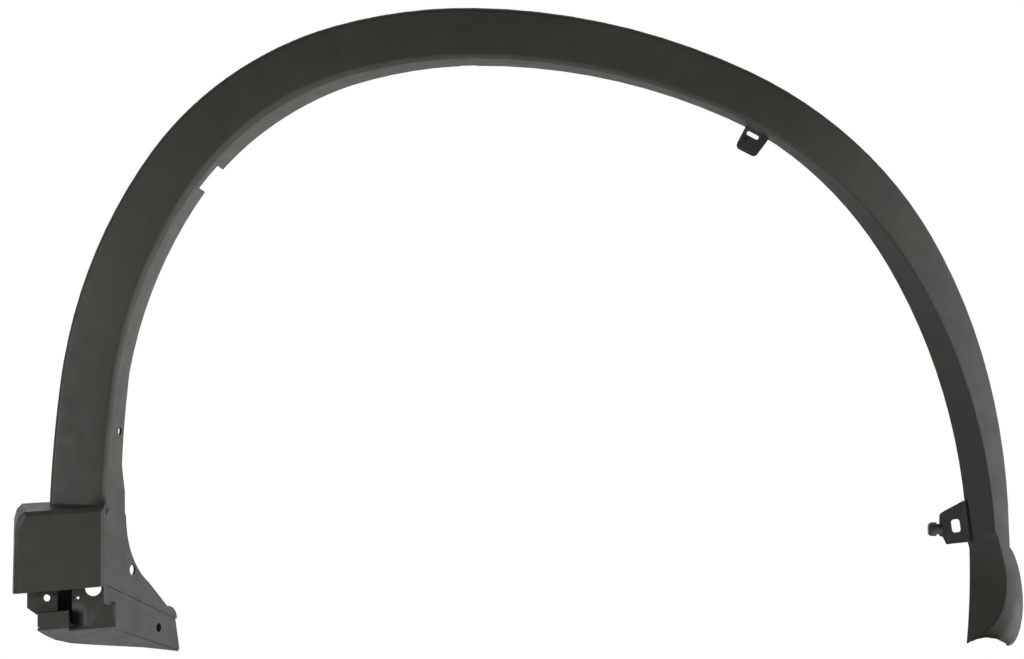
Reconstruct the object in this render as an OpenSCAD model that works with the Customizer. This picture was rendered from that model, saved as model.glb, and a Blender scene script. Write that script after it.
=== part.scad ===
// Wheel arch trim, one injection moulding in black plastic.
// The frame is the car's own: +X forward, +Y into the body, +Z up.
// The origin is the centre of the screw hole in the sill plate.

/* [Place of the arch] */
// Opening edge at its sill end, ahead of the sill screw
heel_x = 52.3; // [48:0.1:56]
// Opening edge at its sill end, outside of the sill plate
heel_y = 21; // [17:0.5:25]
// Opening edge at its sill end, above the sill screw
heel_z = 77.5; // [72:0.5:83]

/* [Opening edge, rear half] */
// Radius of the edge just behind the crown
rear_crown_r = 448; // [430:2:470]
// Turn along that radius
rear_crown_turn = 15.5; // [13:0.5:18]
// Radius of the haunch
haunch_r = 270; // [260:2:280]
// Turn along the haunch
haunch_turn = 38.3; // [36:0.1:41]
// Radius at the top of the rear leg
rear_leg_r = 438; // [420:2:460]
// Turn at the top of the rear leg
rear_leg_turn = 28.5; // [26:0.5:31]
// Radius of the nearly straight foot of the rear leg
rear_foot_r = 1270; // [1200:10:1350]
// Turn of the foot of the rear leg
rear_foot_turn = 5.7; // [5.2:0.1:6.2]

/* [Opening edge, front half] */
// Radius of the edge just ahead of the crown
front_crown_r = 618; // [600:2:640]
// Turn along that radius
front_crown_turn = 24; // [22:0.5:26]
// Radius of the front shoulder
shoulder_r = 407; // [395:1:420]
// Turn along the front shoulder
shoulder_turn = 32.7; // [31:0.1:34]
// Radius of the front leg
front_leg_r = 537; // [520:1:550]
// Turn of the front leg
front_leg_turn = 29.3; // [28:0.1:31]

/* [Body side] */
// Outermost point of the body side, ahead of the crown
apex_ahead = 39; // [20:1:60]
// Radius of the body side in plan
bow_r = 2700; // [2400:50:3200]
// Distance ahead of the outermost point where the front corner of the body starts
corner_start = 250; // [230:5:270]
// Radius of the front corner in plan
corner_r = 405; // [380:5:440]

/* [Face width] */
// At the sill end
face_w_sill = 50.3; // [46:0.1:54]
// At the rear leg
face_w_leg = 49; // [45:0.5:53]
// At the haunch
face_w_haunch = 45.5; // [41:0.5:50]
// At the crown
face_w_crown = 44.3; // [40:0.1:48]
// At the front shoulder
face_w_shoulder = 39.5; // [36:0.5:43]
// At the front leg
face_w_front = 35; // [32:0.5:38]
// At the bumper end
face_w_bumper = 20; // [18:0.5:22]

/* [Section] */
// Wall of the moulding
wall = 2.5; // [2:0.1:3]
// Depth of the outer lip that meets the body
lip_d = 7; // [5.5:0.5:9]
// Radius of the outer edge
edge_r = 4.5; // [3:0.5:6]
// Crown of the face across its width
face_rise = 0.2; // [0:0.1:1]
// Chamfer along the opening edge, at the sill end
strip_w_sill = 4.5; // [3:0.5:6]
// The same chamfer at the haunch
strip_w_haunch = 6.5; // [5.5:0.5:8]
// The same chamfer at the crown
strip_w_crown = 4.5; // [3.5:0.5:6]
// The same chamfer at the bumper end
strip_w_front = 1.5; // [1:0.1:2.5]
// Slope of that chamfer
strip_angle = 35; // [25:1:45]
// Groove between chamfer and return flange
groove_w = 1.6; // [1.2:0.1:2]
// Length of the return flange
flange_l = 30; // [26:0.5:34]
// Draft of the return flange on the rear leg
draft_leg = 8; // [6:0.5:10]
// Draft at the haunch
draft_haunch = 15.5; // [13:0.5:18]
// Draft at the crown
draft_crown = 10; // [8:0.5:12]
// Draft at the front shoulder
draft_shoulder = 4.8; // [4:0.1:6.5]
// Draft at the bumper end
draft_front = 15; // [13:0.5:17]
// Extra draft where the flange runs out into the foot
draft_foot = 9; // [7:0.5:11]
// Extra length of the flange there
flange_foot = 9; // [7:0.5:11]

/* [Bumper end] */
// Length of the flared end below the front leg
nose_l = 112.5; // [105:0.5:120]
// Turn of the arch along the flared end
nose_turn = 10; // [8:0.5:12]
// Step of the opening edge over the flared end
nose_step = 15; // [13:0.5:17]
// Share of the length over which the edge steps out
nose_ramp = 0.45; // [0.35:0.05:0.55]
// Share of the length that is passed where the lobe begins
lobe_start = 0.16; // [0.12:0.01:0.2]
// Swell of the outer edge of the lobe
lobe_bulge = 19; // [17:0.5:22]
// Share of the length that is passed before the opening edge curls in
curl_start = 0.5; // [0.45:0.05:0.6]
// Width of the rim round the curl
curl_w = 2; // [1.6:0.2:4]
// Crown of the lobe across its width
lobe_rise = 4; // [2:0.5:6]
// Hollow of the lower end between its two tips
tip_hollow = 8; // [6:0.5:10]
// Drop of the tip at the flange's rear edge
tip_drop = 2.6; // [1:0.2:4]
// Shortening of the flange along the flared end
nose_relief = 2.4; // [1:0.2:4]

/* [Flange details] */
// Heading of the sensor notch in the return flange
notch_at = -51.8; // [-54:0.1:-48]
// Length of the notch
notch_l = 27.5; // [24:0.5:34]
// Flange left standing in the notch
notch_stand = 11; // [9:0.5:13]
// Heading of the small relief near the crown
relief_at = -0.4; // [-4:0.1:4]
// Length of the relief
relief_l = 15.5; // [12:0.5:20]
// Depth of the relief
relief_d = 3; // [2:0.5:5]

/* [Slotted tab] */
// Heading of the tab
tab_at = 27.8; // [25:0.1:31]
// Width of the tab
tab_w = 25.5; // [23:0.5:28]
// Reach of the tab past the flange
tab_reach = 22.5; // [20:0.5:25]
// Length of the slot
slot_l = 12.5; // [10:0.5:15]
// Width of the slot
slot_w = 4.2; // [3.5:0.1:5]
// Thickness of tab and bracket
lug_t = 3; // [2.5:0.1:4]

/* [Locating bracket] */
// Heading of the bracket's hole
bracket_at = 85.3; // [84:0.1:86]
// Reach of the bracket past the flange
bracket_reach = 27; // [24:0.5:30]
// Hole in the bracket, off the flange
eye_back = 10.8; // [9:0.2:12.5]
// Upper end of the bracket, above its hole
bracket_up = 26; // [23:0.5:29]
// Lower end of the bracket, below its hole
bracket_down = 18.3; // [16:0.1:20]
// Width of the hole in the bracket
eye_w = 8.6; // [7.5:0.1:9.5]
// Height of the hole in the bracket
eye_h = 12.8; // [11:0.1:14]
// Lean of that hole
eye_lean = 8; // [4:1:12]
// Diameter of the locating stub
stub_d = 13.8; // [12:0.1:15]
// Length of the locating stub
stub_l = 11; // [8:0.5:14]

/* [Sill box] */
// Rear edge of the box, behind the sill screw
box_back = 26.5; // [24:0.5:29]
// Front edge of the box, past the opening edge
box_past = 5.7; // [5:0.1:6.4]
// Lower edge of the box, above the sill screw
box_low = 7.8; // [6:0.2:10]
// Overlap of the box over the end of the arch
box_over = 6.5; // [4:0.5:9]
// Face of the box, ahead of the sill plate
box_y = 30; // [27:0.5:33]
// Depth of the box walls
box_d = 22; // [18:0.5:26]
// Rise of the lower edges of the foot towards the front
foot_rise = 5; // [4:0.5:6]
// Rise of the upper edge of the box towards the front
top_rise = 3.5; // [2:0.5:5]
// Edge chamfer of the box
box_chamfer = 3; // [2:0.2:4]
// Length of the corner cut at the upper rear of the box
box_cut = 8; // [6:0.5:10]
// Height of that cut
box_cut_h = 14; // [12:0.5:16]
// Groove between the box and the flange
side_groove_w = 1.4; // [1:0.1:1.8]
// Depth of that groove
side_groove_d = 1.3; // [0.8:0.1:1.5]

/* [Sill plate] */
// Diameter of the sill screw hole
screw_d = 6.5; // [5:0.1:8]
// Diameter of the access hole
access_d = 16; // [14:0.2:17.6]
// Access hole, ahead of the sill screw
access_x = 44.4; // [42:0.2:46]
// Access hole, above the sill screw
access_z = 9.8; // [8:0.1:11.5]
// Length of the lens boss round the screw hole
lens_l = 22; // [19:0.5:24]
// Height of the lens boss
lens_h = 11; // [10:0.2:12.5]
// Height of the boss over the plate
lens_t = 1.2; // [0.8:0.1:2]

/* [Wing and foot] */
// Depth of the wing behind the sill screw
wing_depth = 106; // [102:0.5:111]
// Radius of the hollow in the wing's rear edge
wing_arc_r = 76.5; // [70:0.5:80]
// Turn of that hollow
wing_arc_turn = 60; // [57:1:63]
// Slope of the foot towards the inside of the car
foot_slope = 19.1; // [18.5:0.1:20]
// Slope of the underside
under_slope = 18; // [17:0.1:19]
// Diameter of the hole in the wing
wing_hole_d = 10.4; // [9:0.2:12]
// Diameter of the liner clip hole in the flange
clip_hole_d = 8; // [7:0.2:9]
// Diameter of the hole in the lower wall
wall_hole_d = 9; // [8:0.2:10]
// Length of the collar behind that hole
collar_l = 6; // [4:0.5:8]

/* [Back of the moulding] */
// Clip towers behind the face
towers = 5; // [4:1:6]
// Length of a clip tower
tower_l = 20; // [16:1:24]
// Width of a clip tower
tower_w = 15; // [13:0.5:17]
// Height of a clip tower
tower_h = 9; // [7:0.5:11]
// Diameter of the clip seat in a tower
seat_d = 8; // [7:0.5:9]
// Thickness of the gussets between face and flange
rib_t = 1.6; // [1.2:0.1:2]

/* [Hidden] */

$fn = 48;
eps = 0.01;
plastic = "#3b3a36";

// Arch line: each arc goes on from the last with no corner
rear_arcs = [
    [rear_crown_r, rear_crown_turn],
    [haunch_r, haunch_turn],
    [rear_leg_r, rear_leg_turn],
    [rear_foot_r, rear_foot_turn]
];
front_arcs = [
    [front_crown_r, front_crown_turn],
    [shoulder_r, shoulder_turn],
    [front_leg_r, front_leg_turn],
    [nose_l * 180 / PI / nose_turn, nose_turn]
];
rear_end = rear_crown_turn + haunch_turn + rear_leg_turn + rear_foot_turn;
front_end = front_crown_turn + shoulder_turn + front_leg_turn;

// Run and drop along a chain of arcs after a given turn
function run(arcs, turn, i = 0, h = 0) =
    i == len(arcs) || turn <= 0 ? [0, 0]
    : let (r = arcs[i][0], a = min(turn, arcs[i][1]))
      [r * (sin(h + a) - sin(h)), r * (cos(h + a) - cos(h))] + run(arcs, turn - a, i + 1, h + a);

// The crown follows from the sill end
rear_run = run(rear_arcs, rear_end);
crown_x = heel_x + rear_run.x;
crown_z = heel_z - rear_run.y;
apex_x = crown_x + apex_ahead;

// Opening edge seen from outside, at a heading that is 0 at the crown
function edge(phi) =
    let (p = run(phi < 0 ? rear_arcs : front_arcs, abs(phi)))
    [crown_x + sign(phi) * p.x, crown_z + p.y];

// Body side in plan: a long bow, with the front corner added to it
function bow(x) = x - apex_x;
function past_corner(x) = max(0, bow(x) - corner_start);
function body_y(x) =
    (pow(bow(x), 2) - pow(bow(heel_x), 2)) / (2 * bow_r)
    + corner_r - sqrt(pow(corner_r, 2) - pow(past_corner(x), 2)) - heel_y;
function body_slope(x) =
    bow(x) / bow_r + past_corner(x) / sqrt(pow(corner_r, 2) - pow(past_corner(x), 2));
function lean(phi) = atan(body_slope(edge(phi).x) * sin(phi));

// Directions at a heading: along the arch, into the body, outward across the face
function along_dir(phi) = [cos(phi), 0, -sin(phi)];
function in_dir(phi) = let (t = lean(phi)) [-sin(phi) * sin(t), cos(t), -cos(phi) * sin(t)];
function out_dir(phi) = let (t = lean(phi)) [sin(phi) * cos(t), sin(t), cos(phi) * cos(t)];
function edge_point(phi) = let (p = edge(phi)) [p.x, body_y(p.x), p.y];

// Point of a section: u outward across the face, v into the body, a along the arch
function at(phi, p) =
    edge_point(phi) + p[0] * out_dir(phi) + p[1] * in_dir(phi) + (len(p) > 2 ? p[2] * along_dir(phi) : [0, 0, 0]);

// Smooth value along the arch through equally spaced keys
function blend(k, t) =
    let (
        n = len(k) - 1,
        s = min(max(t, 0), 1) * n,
        i = min(floor(s), n - 1),
        f = s - i,
        a = i > 0 ? k[i - 1] : 2 * k[0] - k[1],
        d = i < n - 1 ? k[i + 2] : 2 * k[n] - k[n - 1],
        b = k[i],
        c = k[i + 1]
    )
    b + f * ((c - a) / 2 + f * (a - 2.5 * b + 2 * c - d / 2 + f * (1.5 * (b - c) + (d - a) / 2)));
function ease(t) = let (s = min(max(t, 0), 1)) s * s * (3 - 2 * s);
function mix(a, b, t) = a + t * (b - a);

face_keys = [
    face_w_sill, face_w_leg, face_w_haunch, face_w_crown, face_w_shoulder, face_w_front, face_w_bumper
];
strip_keys = [
    strip_w_sill, strip_w_haunch, strip_w_haunch, strip_w_crown, mix(strip_w_crown, strip_w_front, 0.2),
    mix(strip_w_crown, strip_w_front, 0.8), strip_w_front
];
draft_keys = [
    draft_leg, mix(draft_leg, draft_haunch, 0.25), draft_haunch, draft_crown, draft_shoulder,
    mix(draft_shoulder, draft_front, 0.5), draft_front
];
function share(phi) = (phi + 90) / 180;
function face_w(phi) = blend(face_keys, share(phi));
function strip_w(phi) = blend(strip_keys, share(phi));

// Share of the foot's flare: it grows slowly down the leg, then steps out where the wing begins
foot_turn = 8;
foot_lead = 0.6;
foot_step_at = 0.7;
foot_step_l = 0.17;
function foot_share(phi) =
    let (q = max(0, (foot_turn - rear_end - phi) / foot_turn))
    foot_lead * pow(q, 1.5) + (1 - foot_lead) * ease((q - foot_step_at) / foot_step_l);
function draft(phi) = blend(draft_keys, share(phi)) + draft_foot * foot_share(phi);

// Section of the moulding as pairs: a point of the visible skin, and its partner on the back.
// It runs from the outer lip round the edge, across the face, round the corner, and along the flange.
function flange_dir(d) = [-sin(d), cos(d)];
function unit(v) = v / norm(v);
function inward(e) = [-e.y, e.x];

function edge_radius(lip) = min(edge_r, lip / 1.2);
function inner_radius(lip) = max(wall / 8, edge_radius(lip) - wall);
function lip_pairs(tip, e, n, lip) =
    let (r = edge_radius(lip), ri = inner_radius(lip))
    concat(
        [[tip + lip * n, tip - wall * e + lip * n]],
        [
            for (a = [0 : 22.5 : 90])
                [
                    tip + r * ((cos(a) - 1) * e + (1 - sin(a)) * n),
                    tip + (ri * cos(a) - wall - ri) * e + (wall + ri - ri * sin(a)) * n
                ]
        ]
    );
face_steps = [0.68, 0.34];
function face_pairs(tip, root, e, n, rise, lip) = [
    for (f = face_steps)
        let (
            skin_f = mix(root + e, tip - edge_radius(lip) * e, f),
            back_f = mix(root + 0.9 * wall * e, tip - (wall + inner_radius(lip)) * e, f),
            lift = -4 * rise * f * (1 - f) * n
        )
        [skin_f + lift, back_f + wall * n + lift]
];
function groove(c) = groove_w * min(1, c / strip_w_sill);
function strip_dir(e, n) = -cos(strip_angle) * e + sin(strip_angle) * n;
function flange_start(root, c, e, n) = root + c * strip_dir(e, n) + groove(c) * (n - e / 5);
function corner_pairs(root, c, e, n, dir) =
    let (
        soft = min(1.2, c / 3),
        s = strip_dir(e, n),
        fs = flange_start(root, c, e, n),
        heel = root + c * s + wall * (1.1 * e + 0.9 * n),
        toe = fs + wall * (-inward(dir) + 0.6 * dir)
    )
    [
        [root + soft * e, root + (soft + wall / 2) * e + wall * n],
        [root + soft * s, root + wall * (0.7 * e + 1.1 * n)],
        [root + c * s, mix(root + wall * (0.7 * e + 1.1 * n), toe, 0.4)],
        [root + c * s + groove(c) * (0.6 * n + 0.45 * e), mix(root + wall * (0.7 * e + 1.1 * n), toe, 0.7)],
        [fs, toe]
    ];
function flange_pairs(fs, dir, l) =
    let (back = -inward(dir))
    [
        [fs + l / 2 * dir, fs + l / 2 * dir + wall * back],
        [fs + (l - min(1, l / 4)) * dir, fs + (l - min(1, l / 4)) * dir + wall * back],
        [fs + l * dir + wall / 4 * back, fs + l * dir + 3 / 4 * wall * back]
    ];
function section(tip, root, rear, c, rise, lip) =
    let (
        e = unit(tip - root),
        n = inward(e),
        fs = flange_start(root, c, e, n),
        dir = unit(rear - fs)
    )
    concat(
        lip_pairs(tip, e, n, lip),
        face_pairs(tip, root, e, n, rise, lip),
        corner_pairs(root, c, e, n, dir),
        flange_pairs(fs, dir, norm(rear - fs))
    );
function flange_end(phi) =
    flange_start([0, 0], strip_w(phi), [1, 0], [0, 1])
    + (flange_l + flange_foot * foot_share(phi)) * flange_dir(draft(phi));
function arch_section(phi) =
    section([face_w(phi), 0], [0, 0], flange_end(phi), strip_w(phi), face_rise, lip_d);

// Flared bumper end: q goes from 0 at the leg to 1 at the tip.
// The outer edge swells into a lobe, and the opening edge steps out and then curls in to the flange's rear edge.
function round_off(s) = 1 - sqrt(1 - s * s);
function past(q, start) = max(0, (q - start) / (1 - start));
lobe_skew = 1.4;
function lobe(q) = let (s = pow(past(q, lobe_start), lobe_skew)) sqrt(max(0, 1 - pow(2 * s - 1, 2)));
first_ramp = 0.06;
first_share = 0.25;
function step_out(q) = mix(ease(q / nose_ramp), ease(q / first_ramp), first_share);
relief_start = 0.08;
leg_rear = flange_end(front_end);
nose_strip = strip_w(front_end);
nose_dir = flange_dir(draft(front_end));
function nose_section(q) =
    let (
        tip = [face_w(front_end) + lobe_bulge * lobe(q), 0],
        rear = leg_rear + [nose_relief * ease((q - relief_start) / relief_start), 0],
        late = ease(past(q, curl_start)),
        strip = mix(nose_strip, curl_w, late),
        heel = rear - (strip + 2 * groove(strip) + wall) * nose_dir,
        root = mix([nose_step * step_out(q), 0], heel, round_off(past(q, curl_start))),
        rise = mix(face_rise, lobe_rise, ease(q)),
        lip = mix(lip_d, 1.6 * wall, ease(q)),
        pairs = section(tip, root, rear, strip, rise, lip)
    )
    [
        for (p = pairs)
            let (
                f = min(max(norm(p[0] - rear) / norm(tip - rear), 0), 1),
                a = late * (tip_drop * (1 - f) - 4 * tip_hollow * f * (1 - f))
            )
            [for (e = p) [e.x, e.y, a]]
    ];

// Stations of the sweep, each a list of skin points and a list of back points
arch_steps = 64;
foot_steps = 14;
ramp_steps = 6;
lobe_steps = 14;
arch_stations = concat(
    [for (i = [0 : foot_steps - 1]) foot_turn * i / foot_steps - rear_end],
    [for (i = [0 : arch_steps]) mix(foot_turn - rear_end, front_end, i / arch_steps)]
);
nose_stations = concat(
    [for (i = [1 : ramp_steps]) lobe_start * i / ramp_steps],
    [for (i = [1 : lobe_steps]) mix(lobe_start, 1, (1 - cos(180 * i / lobe_steps)) / 2)]
);
function skin(pairs) = [for (p = pairs) p[0]];
function back(pairs) = [for (i = [len(pairs) - 1 : -1 : 0]) pairs[i][1]];
function ring(phi, pairs) = [for (p = concat(skin(pairs), back(pairs))) at(phi, p)];
band_rings = concat(
    [for (phi = arch_stations) ring(phi, arch_section(phi))],
    [for (q = nose_stations) ring(front_end + nose_turn * q, nose_section(q))]
);

// Closed skin over rings of paired points, capped across the pairs
module swept(rings) {
    n = len(rings[0]);
    last = len(rings) - 1;
    half = n / 2;
    sides = [
        for (i = [0 : last - 1], j = [0 : n - 1])
            let (a = i * n + j, b = i * n + (j + 1) % n)
            each [[a, b + n, b], [a, a + n, b + n]]
    ];
    start_cap = [
        for (j = [0 : half - 2])
            let (a = j, b = j + 1, c = n - 2 - j, d = n - 1 - j)
            each [[a, b, c], [a, c, d]]
    ];
    end_cap = [for (f = start_cap) [f[0], f[2], f[1]] + last * n * [1, 1, 1]];
    polyhedron(points = [for (r = rings) each r], faces = concat(sides, start_cap, end_cap), convexity = 8);
}

module band() {
    swept(band_rings);
}

// Local frame of a section: x along the arch, y into the body, z outward across the face
module seat(phi) {
    x = along_dir(phi);
    y = in_dir(phi);
    z = out_dir(phi);
    p = edge_point(phi);
    multmatrix([[x.x, y.x, z.x, p.x], [x.y, y.y, z.y, p.y], [x.z, y.z, z.z, p.z], [0, 0, 0, 1]])
        children();
}

// Outline in the plane of the face, or seen from the side, given a thickness
module upright(y0, y1) {
    translate([0, y1, 0]) rotate([90, 0, 0]) linear_extrude(y1 - y0) children();
}
module sideways(x0, x1) {
    translate([x0, 0, 0]) rotate([90, 0, 90]) linear_extrude(x1 - x0) children();
}
module block(low, high) {
    translate(low) cube(high - low);
}

// Cuts in the return flange
module flange_cut(phi, length, stand) {
    c = flange_start([0, 0], strip_w(phi), [1, 0], [0, 1]);
    seat(phi)
    translate([-length / 2, c.y + stand, c.x - flange_l])
        cube([length, flange_l + lip_d, flange_l + 2 * wall]);
}

// Plate with a slot, on the edge of the return flange
tab_corner = 4.6;
tab_taper = 3;
tab_corner_steps = 4;
function tab_round(x, from) = [
    for (i = [0 : tab_corner_steps])
        let (a = from + 90 * i / tab_corner_steps)
        [x, tab_corner - tab_reach] + tab_corner * [cos(a), sin(a)]
];
slot_gap = 2.5;
dimple_d = 3;
module slotted_tab() {
    e = flange_end(tab_at);
    mid = slot_gap + slot_w / 2;
    left = -0.39 * tab_w;
    right = left + tab_w;
    seat(tab_at)
    translate([0, e.y, e.x + wall / 4])
    difference() {
        upright(-lug_t, -wall / 4)
            polygon(concat(
                [[left, wall / 2]],
                tab_round(left + tab_corner, 180),
                tab_round(right - tab_taper - tab_corner, 270),
                [[right, wall / 2]]
            ));
        translate([0, -lug_t / 2, -mid])
        rotate([90, 0, 0]) {
            for (s = [-1, 1])
                translate([s * (slot_l - slot_w) / 2, 0, 0]) cylinder(d = slot_w, h = 2 * lug_t, center = true);
            cube([slot_l - slot_w, slot_w, 2 * lug_t], center = true);
        }
        translate([left / 2, -lug_t, -mid - slot_w - dimple_d / 2])
            rotate([90, 0, 0]) cylinder(d = dimple_d, h = lug_t, center = true);
    }
}

// Bracket with a hole and a locating stub, on the flange above the bumper end
bracket_root = at(bracket_at, flange_end(bracket_at));
bracket_lean = 6;
bracket_cut = 7;
bracket_top = 13;
stub_drop = 3.4;
stub_neck = 3;
stub_tip = 2;
neck_share = 0.76;
module bracket_outline() {
    ear = bracket_reach - eye_back;
    root = eye_back + wall / 2;
    polygon([
        [root - bracket_up * tan(bracket_lean), bracket_up],
        [root + bracket_down * tan(bracket_lean), wall - bracket_down],
        [bracket_cut - ear, -bracket_down],
        [bracket_cut / 2 - ear, bracket_cut - bracket_down],
        [-ear, 1.2 * bracket_cut - bracket_down],
        [-ear, bracket_top - wall],
        [bracket_cut / 4 - ear, bracket_top]
    ]);
}
module eye(w, h, r) {
    hull()
        for (x = [-1, 1], y = [-1, 1]) translate([x * (w / 2 - r), y * (h / 2 - r)]) circle(r);
}
module stub() {
    neck_d = neck_share * stub_d;
    cylinder(d = neck_d, h = stub_l + lug_t - 1);
    translate([0, 0, lug_t + stub_neck]) cylinder(d = stub_d, h = stub_l - stub_neck - stub_tip);
    translate([0, 0, lug_t + stub_l - stub_tip]) cylinder(d1 = stub_d, d2 = neck_d, h = stub_tip);
}
module bracket() {
    translate([bracket_root.x - eye_back, bracket_root.y - wall, bracket_root.z]) {
        difference() {
            upright(-lug_t, 0) bracket_outline();
            upright(-2 * lug_t, lug_t) rotate(eye_lean) eye(eye_w, eye_h, eye_w / 3);
        }
        translate([eye_back - bracket_reach + lug_t, -lug_t / 2, -stub_drop]) rotate([0, -90, 0]) stub();
    }
}

// The foot rises a little towards the front, so its outlines are slanted
function rise(x) = x * tan(foot_rise);

// Box at the sill end, open below and behind
box_front = heel_x + box_past;
box_top = heel_z + box_over;
box_flare = 8.6;
box_lean = 1.6;
function box_outline(in, out, low) =
    let (
        left = in - box_back - out / 2,
        right = box_front - in,
        top = box_top + out - in,
        slope = tan(top_rise)
    )
    [
        [left - box_lean, low + rise(left)],
        [right, low + rise(right)],
        [right, top + right * slope],
        [left + box_cut, top + (left + box_cut) * slope],
        [left + box_cut / 3, top - box_cut_h / 3 + left * slope],
        [left, top - box_cut_h + left * slope]
    ];
module box_body(in, low, front, rear) {
    hull() {
        upright(front, front + eps) polygon(box_outline(in + box_chamfer, 0, low));
        upright(front + box_chamfer, front + box_chamfer + eps) polygon(box_outline(in, box_chamfer / 3, low));
        upright(rear - eps, rear) polygon(box_outline(in, box_flare, low));
    }
}
module sill_box() {
    difference() {
        box_body(0, box_low, -box_y, box_d - box_y);
        box_body(wall, box_low - 2 * wall, wall - box_y, box_d - box_y + wall);
    }
}

// Wing: the return flange goes on down in its own plane, deeper and deeper into the wheel housing
sill_flange_front = at(-rear_end, flange_start([0, 0], strip_w(-rear_end), [1, 0], [0, 1]));
sill_flange_rear = at(-rear_end, flange_end(-rear_end));
wing_dir = unit([sill_flange_rear.x - sill_flange_front.x, sill_flange_rear.y - sill_flange_front.y]);
wing_front = [sill_flange_front.x, sill_flange_front.y];
wing_angle = atan(wing_dir.x / wing_dir.y);
wing_inset = 0.15;
wing_t = wall - 2 * wing_inset;
function wing_point(y) = wing_front + (y - wing_front.y) / wing_dir.y * wing_dir;
function wing_plan(step, t, y0, y1) =
    let (off = [-step, 0], thick = t * [-wing_dir.y, wing_dir.x])
    [
        wing_point(y0) + off,
        wing_point(y1) + off,
        wing_point(y1) + off + thick,
        wing_point(y0) + off + thick
    ];
module plate_on_wing(step, t, y0, y1) {
    intersection() {
        translate([0, 0, -2 * wing_depth]) linear_extrude(4 * wing_depth) polygon(wing_plan(step, t, y0, y1));
        sideways(-wing_depth, 2 * wing_depth) children();
    }
}
wing_top = sill_flange_front.z + 2 * wall;
seam_drop = 1.5;
seam_start = box_low + rise(box_front) + seam_drop;
function seam_z(y) = seam_start - (y - wing_front.y) * tan(foot_slope);
wing_corner_l = 17;
wing_corner_h = 13.3;
function wing_side() =
    let (
        y0 = sill_flange_rear.y + wall / 2,
        z0 = sill_flange_front.z,
        end_z = seam_z(wing_depth)
    )
    concat(
        [[wing_front.y + wall, wing_top], [y0 - wall, wing_top]],
        [for (a = [0 : 6 : wing_arc_turn]) [y0 + wing_arc_r * (1 - cos(a)), z0 - wing_arc_r * sin(a)]],
        [
            for (a = [0 : 15 : 90])
                [wing_depth + wing_corner_l * (sin(a) - 1), end_z + wall / 4 + wing_corner_h * cos(a)]
        ],
        [
            [wing_depth, end_z],
            [wing_front.y + wall / 2, seam_z(wing_front.y)]
        ]
    );
module wing() {
    plate_on_wing(wing_inset, wing_t, wing_front.y, wing_depth) polygon(wing_side());
}

// Underside of the foot: a plate that falls towards the inside of the car
ledge_out = 14;
under_z = -30;
rear_depth = wing_depth + 3 * wall;
function under(x, y) = under_z - (y + ledge_out) * tan(under_slope) + rise(x);
module underside() {
    intersection() {
        translate([0, -ledge_out, under_z])
        rotate([-under_slope, -foot_rise, 0])
            translate([-wing_depth, -wing_depth, 0]) cube([3 * wing_depth, 3 * wing_depth, wall]);
        translate([0, 0, -2 * wing_depth])
        linear_extrude(4 * wing_depth)
            polygon(concat(
                [
                    [ledge_left, -ledge_out],
                    [ledge_left + 1.8 * wall, 2 * wall],
                    [0.04 * wing_depth, 0.25 * wing_depth],
                    [0.17 * wing_depth, 0.43 * wing_depth],
                    [0.365 * wing_depth, 0.56 * wing_depth],
                    [0.79 * wing_depth, 0.81 * wing_depth]
                ],
                [wing_point(rear_depth) - [lower_step + wall / 2, 0]],
                [wing_point(lower_front) - [lower_step + wall / 2, 0]],
                [[plate_end, -ledge_near], [ledge_gap, -ledge_near], [ledge_gap, -ledge_out]]
            ));
    }
}

// Lower wall, stepped in behind the wing, from the seam down to the underside
lower_step = 1.8;
lower_front = 1.5;
plate_end = wing_point(2.5 * wall).x - lower_step;
module lower_wall() {
    y0 = wing_front.y + wall;
    plate_on_wing(lower_step, wing_t, y0, rear_depth + wall)
        polygon([
            [y0, seam_z(y0) + 2 * wall],
            [wing_depth - wall, seam_z(wing_depth - wall) + 2 * wall],
            [wing_depth, seam_z(wing_depth)],
            [rear_depth, under(wing_point(rear_depth).x, rear_depth) + wall / 2],
            [lower_front, under(wing_point(lower_front).x, lower_front)],
            [lower_front, near_top],
            [y0, seam_z(y0) - 7 * wall]
        ]);
}

// Sill plate, set back from the box, with its boss and its recess
plate_t = 3;
plate_back = 19.2;
plate_top = 34;
plate_cut = 8;
recess_x = 10;
recess_w = 14;
recess_low = -24;
recess_d = 20;
module sill_plate() {
    cut_z = -plate_cut - rise(plate_back);
    difference() {
        upright(-plate_t / 2, plate_t / 2)
            polygon([
                [-plate_back, plate_top],
                [-plate_back, cut_z],
                [plate_cut - plate_back + 1, cut_z - plate_cut + 1.5],
                [ledge_left + wall, cut_z - plate_cut + 1.5],
                [ledge_left + wall, under(0, 0) + wall / 2],
                [plate_end, under(plate_end, 0) + wall / 2],
                [plate_end, near_end],
                [wing_point(0).x - lower_step - wall / 2, near_end],
                [wing_point(0).x - lower_step - wall / 2, plate_top]
            ]);
        block([recess_x, -plate_t, recess_low], [recess_x + recess_w, plate_t, plate_top - 2 * wall]);
    }
    difference() {
        block(
            [recess_x - wall, -plate_t / 2 + eps, recess_low - wall],
            [recess_x + recess_w + wall, recess_d, plate_top - wall]
        );
        block([recess_x, -plate_t, recess_low], [recess_x + recess_w, recess_d - wall, plate_top - 2 * wall]);
    }
}
lens_r = (pow(lens_l, 2) + pow(lens_h, 2)) / (4 * lens_h);
module lens_boss() {
    intersection_for (s = [-1, 1])
        translate([0, -plate_t / 2 - lens_t, s * (lens_r - lens_h / 2)])
            rotate([-90, 0, 0]) cylinder(r = lens_r, h = lens_t + plate_t / 2);
}

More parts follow.
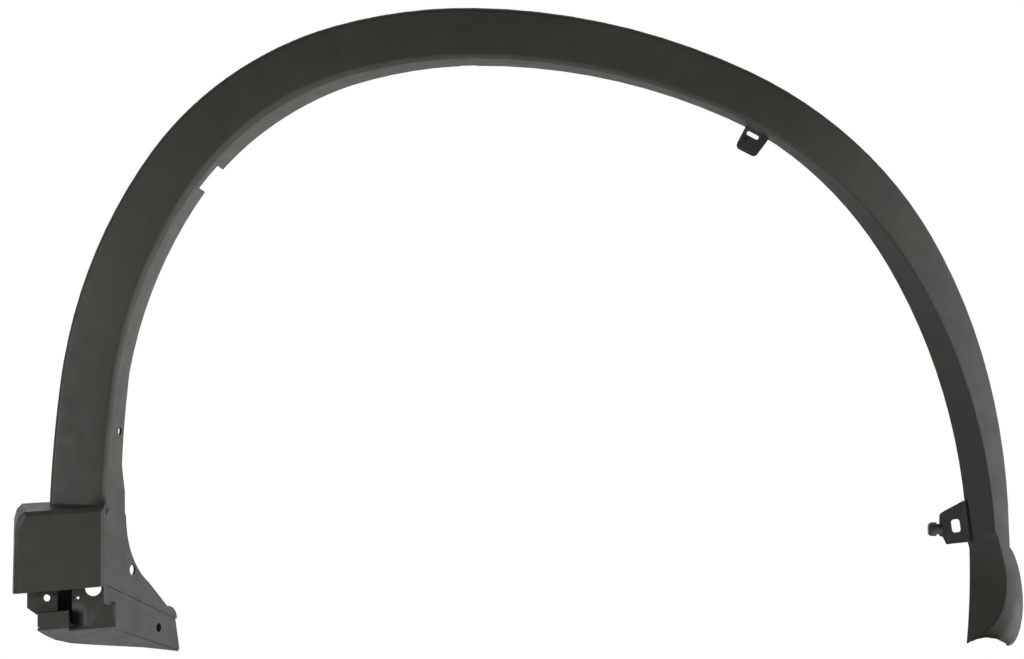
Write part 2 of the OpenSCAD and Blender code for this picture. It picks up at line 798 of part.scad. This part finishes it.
// Ledges below the sill plate, standing on the underside
ledge_left = -7.5;
ledge_gap = 21.9;
ledge_near = 3;
ledge_top = -14;
near_left = 40.5;
near_top = -9;
near_end = near_top + 2 * rise(plate_end - near_left);
module ledge(x0, x1, out, top, up) {
    low = under(x0, -out) + wall / 2;
    difference() {
        upright(-out, 0)
            polygon([
                [x0, low + (out == ledge_out ? wall : 0)],
                [x0 + (out == ledge_out ? 2 * wall : wall), low],
                [x1, under(x1, -out) + wall / 2],
                [x1, top + up * rise(x1 - x0)],
                [x0, top]
            ]);
        block([x0 + wall, wall - out, low - wing_depth], [x1 - wall, plate_t, top - wall]);
    }
}
module ledges() {
    ledge(ledge_left, ledge_gap, ledge_out, ledge_top, 1);
    ledge(near_left, plate_end, ledge_near, near_top, 2);
}

// Holes of the foot
wing_hole = [29.8, 25];
wall_hole = [76.5, -35];
clip_hole_at = -84.2;
clip_hole_l = 22;
slit_x = 27.8;
slit_w = 6.5;
slit_h = 2;
module across_wing(p) {
    q = wing_point(p[0]);
    translate([q.x, q.y, p[1]]) rotate([0, 90, 0]) rotate([wing_angle, 0, 0])
        children();
}
module collar() {
    across_wing(wall_hole)
    translate([0, 0, -lower_step * wing_dir.y - wing_t / 2 - collar_l]) cylinder(d = wall_hole_d + 2 * wall, h = collar_l);
}
module side_groove() {
    across_wing([wing_front.y + wing_dir.y * wall / 2, seam_start])
    translate([-box_top, -side_groove_w / 2, -side_groove_d])
        cube([box_top, side_groove_w, wall]);
}
module foot_holes() {
    bore = 3 * plate_t;
    rotate([90, 0, 0]) cylinder(d = screw_d, h = bore, center = true);
    translate([access_x, 0, access_z]) rotate([90, 0, 0]) cylinder(d = access_d, h = bore, center = true);
    translate([slit_x, 0, 0]) cube([slit_w, bore, slit_h], center = true);
    across_wing(wing_hole) cylinder(d = wing_hole_d, h = 6 * wall, center = true);
    across_wing(wall_hole) cylinder(d = wall_hole_d, h = 8 * collar_l, center = true);
    side_groove();
}
module liner_hole() {
    d = draft(clip_hole_at);
    f = flange_start([0, 0], strip_w(clip_hole_at), [1, 0], [0, 1]) + clip_hole_l * flange_dir(d);
    seat(clip_hole_at)
    translate([0, f.y, f.x])
        rotate([-d, 0, 0]) cylinder(d = clip_hole_d, h = 6 * wall, center = true);
}

// Clip towers behind the face, each between two gussets. Their feet follow the slope of the skin.
tower_span = 144;
gusset_turn = 6;
function skin_slope(phi) = body_slope(edge(phi).x) * cos(phi) * cos(lean(phi));
module tower(phi) {
    k = skin_slope(phi);
    low = wall / 4 - abs(k) * tower_l / 2;
    top = wall + tower_h;
    side = tower_w / 2 - rib_t;
    seat(phi)
    translate([0, 0, face_w(phi) / 2])
    difference() {
        block([-tower_l / 2, low, -tower_w / 2], [tower_l / 2, top, tower_w / 2]);
        block([rib_t - tower_l / 2, wall + eps, -side], [tower_l, top - wall, side]);
        translate([0, top, 0]) rotate([90, 0, 0]) cylinder(d = seat_d, h = 3 * wall, center = true);
        block([0, top - 1.5 * wall, -seat_d / 4], [tower_l, top + wall, seat_d / 4]);
        multmatrix([[1, 0, 0, 0], [k, 1, 0, 0], [0, 0, 1, 0], [0, 0, 0, 1]])
            block([-tower_l, -tower_l, -tower_w], [tower_l, wall / 4, tower_w]);
    }
}
module gusset(phi) {
    fs = flange_start([0, 0], strip_w(phi), [1, 0], [0, 1]);
    d = flange_dir(draft(phi));
    mid = fs + wall / 2 * [d.y, -d.x];
    heel = mid + wall * d;
    end = mid + flange_l / 2 * d;
    seat(phi)
    sideways(-rib_t / 2, rib_t / 2)
        polygon([[wall / 2, wall / 2], [heel.y, heel.x], [end.y, end.x], [wall / 4, face_w(phi) / 2]]);
}
module backing() {
    for (i = [0 : towers - 1]) {
        phi = tower_span * (i / (towers - 1) - 0.5);
        tower(phi);
        for (s = [-1, 1]) gusset(phi + s * gusset_turn);
    }
}

module arch_trim() {
    color(plastic)
    difference() {
        union() {
            band();
            slotted_tab();
            bracket();
            sill_box();
            wing();
            lower_wall();
            sill_plate();
            lens_boss();
            ledges();
            underside();
            collar();
            backing();
        }
        flange_cut(notch_at, notch_l, notch_stand);
        flange_cut(relief_at, relief_l, flange_l - relief_d);
        foot_holes();
        liner_hole();
    }
}

arch_trim();
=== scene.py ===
import math

import bpy
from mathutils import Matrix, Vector


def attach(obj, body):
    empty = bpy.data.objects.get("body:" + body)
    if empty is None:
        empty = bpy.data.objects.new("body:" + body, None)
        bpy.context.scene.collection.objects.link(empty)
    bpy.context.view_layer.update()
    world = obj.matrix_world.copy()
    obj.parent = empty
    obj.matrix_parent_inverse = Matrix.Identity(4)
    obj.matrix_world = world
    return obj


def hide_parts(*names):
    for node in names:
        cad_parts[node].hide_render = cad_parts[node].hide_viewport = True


# The trim, as it was moulded, in metres
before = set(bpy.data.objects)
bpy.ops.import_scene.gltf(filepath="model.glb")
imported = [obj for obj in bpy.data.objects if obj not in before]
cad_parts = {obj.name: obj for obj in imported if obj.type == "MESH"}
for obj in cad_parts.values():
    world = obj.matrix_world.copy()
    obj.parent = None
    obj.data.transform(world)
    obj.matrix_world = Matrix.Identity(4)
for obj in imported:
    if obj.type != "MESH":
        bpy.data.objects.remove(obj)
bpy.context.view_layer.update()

MM = 0.001
WHITE = (1.0, 1.0, 1.0, 1.0)

# The trim's skin: triangles join up within this distance, edges stay sharp past this angle, and large
# faces lead the shading by this weight
JOIN_WITHIN = 0.02 * MM
SHARP_PAST = math.radians(24)
LARGE_FACE_WEIGHT = 80

# Noise in the plastic: features to the metre, octaves of detail and the roughness of these
CLOUD = (9.0, 4.0, 0.55)
SMEAR = (38.0, 6.0, 0.65)
GLOSS = (60.0, 3.0, 0.5)
GRAIN = (1400.0, 2.0, 0.6)
# The part of each noise over which it goes from nothing to full
CLOUD_SPAN = (0.35, 0.68)
SMEAR_SPAN = (0.52, 0.78)
GLOSS_SPAN = (0.3, 0.7)
# How far the clouds go to the lighter plastic, and the smears to dust
CLOUD_SHARE = 0.55
SMEAR_SHARE = 0.10
ROUGHNESS = (0.44, 0.58)
SHINE = 0.35
GRAIN_STRENGTH = 0.22
GRAIN_DEPTH = 0.12 * MM

# Camera: square on to the trim's outer side, from well back, as in the photograph
CAMERA_PLACE = (0.448, -3.55, 0.2585)
CAMERA_LEVEL = math.radians(90)
CAMERA_REACH = 50.0
SENSOR = 36.0
LENS = 129.5

# Floor: a pale disc below the trim, outside the photograph's frame
FLOOR_Z = -1.2
FLOOR_R = 1.9
FLOOR_SIDES = 96
FLOOR_GREY = (0.86, 0.86, 0.86, 1.0)
# Share of plain white in what the floor shows; the rest keeps the trim's shadow
FLOOR_WHITE = 0.8

# Soft light of the room, each one with the way it comes from and its strength
ROOM_LIGHTS = (
    ((0.7071, 0.0, -0.7071), 3.5),
    ((0.0, -1.0, 0.0), 0.1),
    ((-0.2, 0.78, 0.6), 1.2),
)
# Cosines of the angles from that way at which a room light is gone and is full
ROOM_FADE = (0.2, 1.0)
# The white that the plastic mirrors fades twice: from the back of the room to its front, and from the
# lower right to the upper left. Each fade has its way, the cosines to it between which the white
# changes, and the share of white at the two.
BACKDROP_BACK = ((0.0, 1.0, 0.0), (0.0, 0.6), (0.0, 0.75))
BACKDROP_LOW = ((0.93, 0.0, -0.37), (-0.05, 0.45), (0.12, 1.0))

# Points that the lamps are turned to
TRIM_MIDDLE = (0.448, 0.0, 0.26)
OPENING_TOP = (0.4, 0.0, 0.4)
SILL_LEG = (0.05, 0.0, 0.2)
# Soft lamps: name, place, the point that it is turned to, width and height, and power in watts
SOFT_LAMPS = (
    ("lamp_right", (7.0, -0.5, 0.5), TRIM_MIDDLE, (3.5, 3.5), 20.0),
    ("lamp_low_right", (1.7, 0.05, -0.34), OPENING_TOP, (0.9, 0.5), 3.2),
    ("lamp_sill", (-0.9, -1.0, 0.1), SILL_LEG, (0.6, 0.6), 11.0),
    ("lamp_above", (0.5, 0.5, 2.4), TRIM_MIDDLE, (1.8, 1.2), 3.0),
    ("lamp_behind", (0.2, 3.4, 1.2), TRIM_MIDDLE, (2.0, 2.0), 110.0),
)


def linear(r, g, b):
    """A colour given as it looks on a screen, 0 to 255, as the shader wants it, by the sRGB curve."""
    def one(v):
        v = v / 255
        return v / 12.92 if v <= 0.04045 else ((v + 0.055) / 1.055) ** 2.4
    return (one(r), one(g), one(b), 1.0)


PLASTIC_DARK = linear(50, 48, 43)
PLASTIC_LIGHT = linear(63, 60, 54)
DUST = linear(104, 101, 94)


def only(obj):
    """Nothing but this object is selected, and it is active."""
    bpy.ops.object.select_all(action="DESELECT")
    obj.select_set(True)
    bpy.context.view_layer.objects.active = obj


def emptied(owner):
    """The node tree of a world or a material, with no node in it yet."""
    owner.use_nodes = True
    for old in list(owner.node_tree.nodes):
        owner.node_tree.nodes.remove(old)
    return owner.node_tree


def combined(tree, operation, a, b):
    """Two values put together by a sum. Each is a number or another node's output."""
    m = tree.nodes.new("ShaderNodeMath")
    m.operation = operation
    for i, value in enumerate((a, b)):
        if isinstance(value, float):
            m.inputs[i].default_value = value
        else:
            tree.links.new(value, m.inputs[i])
    return m.outputs[0]


def spread(tree, value, span, results=(0.0, 1.0), ease="LINEAR"):
    """Goes from the first result to the second while the value crosses the span."""
    r = tree.nodes.new("ShaderNodeMapRange")
    r.interpolation_type = ease
    r.inputs["From Min"].default_value, r.inputs["From Max"].default_value = span
    r.inputs["To Min"].default_value, r.inputs["To Max"].default_value = results
    tree.links.new(value, r.inputs["Value"])
    return r.outputs["Result"]


def moulded_plastic():
    """Unpainted filled plastic: charcoal, clouded, finely grained, a little dust in the grain."""
    mat = bpy.data.materials.new("moulded_plastic")
    mat.use_nodes = True
    tree = mat.node_tree
    shader = tree.nodes["Principled BSDF"]
    shader.inputs["Specular IOR Level"].default_value = SHINE
    place = tree.nodes.new("ShaderNodeTexCoord")

    def noise(scale, detail, roughness):
        n = tree.nodes.new("ShaderNodeTexNoise")
        n.inputs["Scale"].default_value = scale
        n.inputs["Detail"].default_value = detail
        n.inputs["Roughness"].default_value = roughness
        tree.links.new(place.outputs["Object"], n.inputs["Vector"])
        return n.outputs["Fac"]

    def mix(a, b, factor, share):
        """Goes from a to b by a share of the factor. Each is a colour or another node's output."""
        m = tree.nodes.new("ShaderNodeMix")
        m.data_type = "RGBA"
        tree.links.new(combined(tree, "MULTIPLY", factor, share), m.inputs["Factor"])
        for value, socket in ((a, "A"), (b, "B")):
            if isinstance(value, tuple):
                m.inputs[socket].default_value = value
            else:
                tree.links.new(value, m.inputs[socket])
        return m.outputs["Result"]

    cloud = spread(tree, noise(*CLOUD), CLOUD_SPAN)
    smear = spread(tree, noise(*SMEAR), SMEAR_SPAN)
    clouded = mix(PLASTIC_DARK, PLASTIC_LIGHT, cloud, CLOUD_SHARE)
    tree.links.new(mix(clouded, DUST, smear, SMEAR_SHARE), shader.inputs["Base Color"])
    tree.links.new(spread(tree, noise(*GLOSS), GLOSS_SPAN, ROUGHNESS), shader.inputs["Roughness"])

    bump = tree.nodes.new("ShaderNodeBump")
    bump.inputs["Strength"].default_value = GRAIN_STRENGTH
    bump.inputs["Distance"].default_value = GRAIN_DEPTH
    tree.links.new(noise(*GRAIN), bump.inputs["Height"])
    tree.links.new(bump.outputs["Normal"], shader.inputs["Normal"])
    return mat


def dressed_trim():
    """The trim's own skin: its triangles joined up, smooth along its sweeps and sharp at its edges."""
    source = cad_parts["arch_trim"]
    only(source)
    bpy.ops.object.duplicate()
    trim = bpy.context.view_layer.objects.active
    trim.parent = None
    trim.name = "trim_skin"
    trim.data.name = "trim_skin"
    for key in [k for k in trim.keys() if k.startswith("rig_")]:
        del trim[key]
    only(trim)
    bpy.ops.object.mode_set(mode="EDIT")
    bpy.ops.mesh.select_all(action="SELECT")
    bpy.ops.mesh.remove_doubles(threshold=JOIN_WITHIN)
    bpy.ops.mesh.normals_make_consistent(inside=False)
    bpy.ops.object.mode_set(mode="OBJECT")
    bpy.ops.object.shade_smooth_by_angle(angle=SHARP_PAST)
    bpy.ops.object.modifier_add(type="WEIGHTED_NORMAL")
    even = trim.modifiers[-1]
    even.mode = "FACE_AREA_WITH_ANGLE"
    even.weight = LARGE_FACE_WEIGHT
    even.keep_sharp = True
    bpy.ops.object.modifier_apply(modifier=even.name)
    trim.data.materials.clear()
    trim.data.materials.append(moulded_plastic())
    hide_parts("arch_trim")
    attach(trim, "root")


def seen_white(tree, lit, white, mirrored=1.0, shown=1.0):
    """White to the camera, in mirrors and through glass. To all other rays it is what lights the object.

    Mirrors see the share "mirrored" of the white, and "shown" is the share that is seen at all.
    """
    rays = tree.nodes.new("ShaderNodeLightPath")
    in_mirrors = combined(tree, "MULTIPLY", rays.outputs["Is Glossy Ray"], mirrored)
    seen = combined(tree, "MAXIMUM", rays.outputs["Is Camera Ray"], in_mirrors)
    seen = combined(tree, "MAXIMUM", seen, rays.outputs["Is Transmission Ray"])
    seen = combined(tree, "MULTIPLY", seen, shown)
    blend = tree.nodes.new("ShaderNodeMixShader")
    tree.links.new(seen, blend.inputs[0])
    tree.links.new(lit.outputs[0], blend.inputs[1])
    tree.links.new(white.outputs[0], blend.inputs[2])
    return blend


def studio_world():
    """White backdrop. Light comes from low on the right, from high behind and a little from the front."""
    world = bpy.data.worlds.new("studio")
    bpy.context.scene.world = world
    tree = emptied(world)
    way = tree.nodes.new("ShaderNodeTexCoord").outputs["Generated"]

    def by_direction(direction, span, results):
        """Goes smoothly from the first result to the second as a ray turns towards the direction."""
        along = tree.nodes.new("ShaderNodeVectorMath")
        along.operation = "DOT_PRODUCT"
        along.inputs[1].default_value = direction
        tree.links.new(way, along.inputs[0])
        return spread(tree, along.outputs["Value"], span, results, "SMOOTHSTEP")

    light = 0.0
    for direction, strength in ROOM_LIGHTS:
        light = combined(tree, "ADD", light, by_direction(direction, ROOM_FADE, (0.0, strength)))
    lit = tree.nodes.new("ShaderNodeBackground")
    lit.inputs["Color"].default_value = WHITE
    tree.links.new(light, lit.inputs["Strength"])
    white = tree.nodes.new("ShaderNodeBackground")
    white.inputs["Color"].default_value = WHITE
    mirrored = combined(tree, "MULTIPLY", by_direction(*BACKDROP_BACK), by_direction(*BACKDROP_LOW))
    blend = seen_white(tree, lit, white, mirrored=mirrored)
    out = tree.nodes.new("ShaderNodeOutputWorld")
    tree.links.new(blend.outputs[0], out.inputs["Surface"])


def studio_floor():
    """Pale floor below the trim."""
    bpy.ops.object.select_all(action="DESELECT")
    bpy.ops.mesh.primitive_circle_add(
        vertices=FLOOR_SIDES, radius=FLOOR_R, fill_type="NGON", location=(CAMERA_PLACE[0], 0.0, FLOOR_Z)
    )
    floor = bpy.context.view_layer.objects.active
    floor.name = "floor"
    bpy.ops.object.transform_apply(location=True, rotation=True, scale=True)
    mat = bpy.data.materials.new("floor_white")
    tree = emptied(mat)
    lit = tree.nodes.new("ShaderNodeBsdfDiffuse")
    lit.inputs["Color"].default_value = FLOOR_GREY
    white = tree.nodes.new("ShaderNodeEmission")
    white.inputs["Color"].default_value = WHITE
    blend = seen_white(tree, lit, white, shown=FLOOR_WHITE)
    out = tree.nodes.new("ShaderNodeOutputMaterial")
    tree.links.new(blend.outputs[0], out.inputs["Surface"])
    floor.data.materials.append(mat)


def soft_lamp(name, place, target, size, power):
    """One soft lamp, turned to its target and hidden from the camera."""
    bpy.ops.object.select_all(action="DESELECT")
    bpy.ops.object.light_add(type="AREA", location=place)
    lamp = bpy.context.view_layer.objects.active
    lamp.name = name
    lamp.data.shape = "RECTANGLE"
    lamp.data.size, lamp.data.size_y = size
    lamp.data.energy = power
    lamp.visible_camera = False
    aim = Vector(target) - Vector(place)
    lamp.rotation_euler = aim.to_track_quat("-Z", "Y").to_euler()


def camera():
    """The camera, level and square on to the trim."""
    bpy.ops.object.select_all(action="DESELECT")
    bpy.ops.object.camera_add(location=CAMERA_PLACE, rotation=(CAMERA_LEVEL, 0.0, 0.0))
    cam = bpy.context.view_layer.objects.active
    cam.name = "camera"
    cam.data.sensor_width = SENSOR
    cam.data.lens = LENS
    cam.data.clip_end = CAMERA_REACH
    bpy.context.scene.camera = cam


dressed_trim()
studio_world()
studio_floor()
for lamp_values in SOFT_LAMPS:
    soft_lamp(*lamp_values)
camera()
bpy.context.scene.view_settings.view_transform = "Standard"
